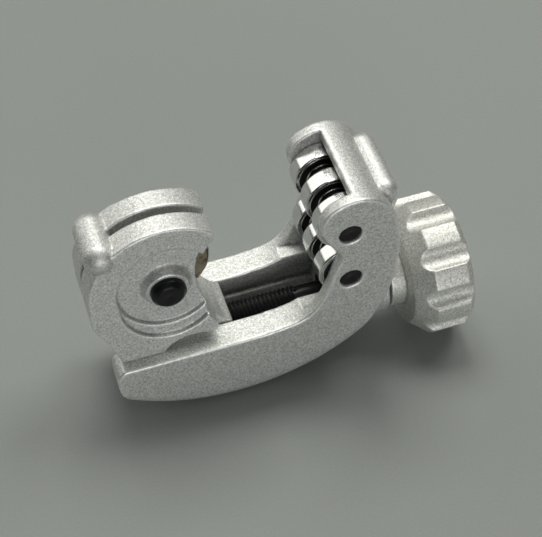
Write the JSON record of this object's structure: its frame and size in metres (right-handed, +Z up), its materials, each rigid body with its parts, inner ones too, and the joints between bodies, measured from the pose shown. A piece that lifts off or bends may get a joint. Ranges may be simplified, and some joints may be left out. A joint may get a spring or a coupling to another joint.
{
  "type": "tube cutter",
  "caption": "Screw-fed tube cutter: a silver die-cast C frame with ball-bearing rollers, a sliding carriage with its cutter wheel, and a fluted knob on a captive screw",
  "frame": {"origin": "Middle of the base of the bounding box: the floor plane under the knob's lower rim, halfway along the tool and on its middle plane.", "axes": "+X runs along the feed screw towards the knob, +Y is across the tool towards its hidden side, +Z is up from the belly of the frame to the rollers."},
  "size_m": [0.086, 0.0322, 0.0585],
  "materials": {
    "cast_silver": "satin",
    "knob_silver": "satin",
    "black_steel": "satin",
    "black_sleeve": "matte",
    "black_seal": "matte",
    "bearing_chrome": "polished",
    "ball_steel": "polished",
    "cage_bronze": "satin",
    "wheel_steel": "satin"
  },
  "bodies": {
    "frame_body": {"frame": "cast_silver", "upper_pin": "black_steel", "lower_pin": "black_steel", "upper_spacers": "black_sleeve", "lower_spacers": "black_sleeve", "thrust_washer": "black_steel", "upper_near_inner_ring": "bearing_chrome", "upper_mid_inner_ring": "bearing_chrome", "upper_far_inner_ring": "bearing_chrome", "lower_near_inner_ring": "bearing_chrome", "lower_mid_inner_ring": "bearing_chrome", "lower_far_inner_ring": "bearing_chrome"},
    "knob_body": {"knob": "knob_silver", "feed_screw": "black_steel", "knob_pin": "black_steel", "screw_ring": "black_steel"},
    "carriage_body": {"carriage": "cast_silver", "wheel_pin": "black_steel", "wheel_pin_ring": "black_steel"},
    "wheel_body": {"cutter_wheel": "wheel_steel"},
    "upper_near_roller": {"upper_near_outer_ring": "bearing_chrome", "upper_near_seals": "black_seal"},
    "upper_near_cage_body": {"upper_near_cage": "cage_bronze", "upper_near_balls": "ball_steel"},
    "upper_mid_roller": {"upper_mid_outer_ring": "bearing_chrome", "upper_mid_seals": "black_seal"},
    "upper_mid_cage_body": {"upper_mid_cage": "cage_bronze", "upper_mid_balls": "ball_steel"},
    "upper_far_roller": {"upper_far_outer_ring": "bearing_chrome", "upper_far_seals": "black_seal"},
    "upper_far_cage_body": {"upper_far_cage": "cage_bronze", "upper_far_balls": "ball_steel"},
    "lower_near_roller": {"lower_near_outer_ring": "bearing_chrome", "lower_near_seals": "black_seal"},
    "lower_near_cage_body": {"lower_near_cage": "cage_bronze", "lower_near_balls": "ball_steel"},
    "lower_mid_roller": {"lower_mid_outer_ring": "bearing_chrome", "lower_mid_seals": "black_seal"},
    "lower_mid_cage_body": {"lower_mid_cage": "cage_bronze", "lower_mid_balls": "ball_steel"},
    "lower_far_roller": {"lower_far_outer_ring": "bearing_chrome", "lower_far_seals": "black_seal"},
    "lower_far_cage_body": {"lower_far_cage": "cage_bronze", "lower_far_balls": "ball_steel"}
  },
  "joints": [
    {"name": "knob_turn", "type": "hinge", "parent": "frame_body", "child": "knob_body", "pos_m": [0.01315, 0, 0.01589], "axis": [-1, 0, 0], "range_deg": [0, 7560]},
    {"name": "carriage_slide", "type": "slide", "parent": "frame_body", "child": "carriage_body", "axis": [1, 0, 0], "range_m": [0, 0.021]},
    {"name": "wheel_spin", "type": "hinge", "parent": "carriage_body", "child": "wheel_body", "pos_m": [-0.02585, 0, 0.03999], "axis": [0, 1, 0], "continuous": true},
    {"name": "upper_near_roller_turn", "type": "hinge", "parent": "frame_body", "child": "upper_near_roller", "pos_m": [0.01315, -0.0074, 0.04834], "axis": [0, 1, 0], "continuous": true},
    {"name": "upper_near_cage_turn", "type": "hinge", "parent": "frame_body", "child": "upper_near_cage_body", "pos_m": [0.01315, -0.0074, 0.04834], "axis": [0, 1, 0], "continuous": true},
    {"name": "upper_mid_roller_turn", "type": "hinge", "parent": "frame_body", "child": "upper_mid_roller", "pos_m": [0.01315, 0, 0.04834], "axis": [0, 1, 0], "continuous": true},
    {"name": "upper_mid_cage_turn", "type": "hinge", "parent": "frame_body", "child": "upper_mid_cage_body", "pos_m": [0.01315, 0, 0.04834], "axis": [0, 1, 0], "continuous": true},
    {"name": "upper_far_roller_turn", "type": "hinge", "parent": "frame_body", "child": "upper_far_roller", "pos_m": [0.01315, 0.0074, 0.04834], "axis": [0, 1, 0], "continuous": true},
    {"name": "upper_far_cage_turn", "type": "hinge", "parent": "frame_body", "child": "upper_far_cage_body", "pos_m": [0.01315, 0.0074, 0.04834], "axis": [0, 1, 0], "continuous": true},
    {"name": "lower_near_roller_turn", "type": "hinge", "parent": "frame_body", "child": "lower_near_roller", "pos_m": [0.01355, -0.0074, 0.03364], "axis": [0, 1, 0], "continuous": true},
    {"name": "lower_near_cage_turn", "type": "hinge", "parent": "frame_body", "child": "lower_near_cage_body", "pos_m": [0.01355, -0.0074, 0.03364], "axis": [0, 1, 0], "continuous": true},
    {"name": "lower_mid_roller_turn", "type": "hinge", "parent": "frame_body", "child": "lower_mid_roller", "pos_m": [0.01355, 0, 0.03364], "axis": [0, 1, 0], "continuous": true},
    {"name": "lower_mid_cage_turn", "type": "hinge", "parent": "frame_body", "child": "lower_mid_cage_body", "pos_m": [0.01355, 0, 0.03364], "axis": [0, 1, 0], "continuous": true},
    {"name": "lower_far_roller_turn", "type": "hinge", "parent": "frame_body", "child": "lower_far_roller", "pos_m": [0.01355, 0.0074, 0.03364], "axis": [0, 1, 0], "continuous": true},
    {"name": "lower_far_cage_turn", "type": "hinge", "parent": "frame_body", "child": "lower_far_cage_body", "pos_m": [0.01355, 0.0074, 0.03364], "axis": [0, 1, 0], "continuous": true}
  ],
  "couplings": [
    {"joint": "carriage_slide", "follows": "knob_turn", "m_per_rad": 0.00015915},
    {"joint": "upper_near_cage_turn", "follows": "upper_near_roller_turn", "ratio": 0.6111},
    {"joint": "upper_mid_cage_turn", "follows": "upper_mid_roller_turn", "ratio": 0.6111},
    {"joint": "upper_far_cage_turn", "follows": "upper_far_roller_turn", "ratio": 0.6111},
    {"joint": "lower_near_cage_turn", "follows": "lower_near_roller_turn", "ratio": 0.6111},
    {"joint": "lower_mid_cage_turn", "follows": "lower_mid_roller_turn", "ratio": 0.6111},
    {"joint": "lower_far_cage_turn", "follows": "lower_far_roller_turn", "ratio": 0.6111}
  ]
}
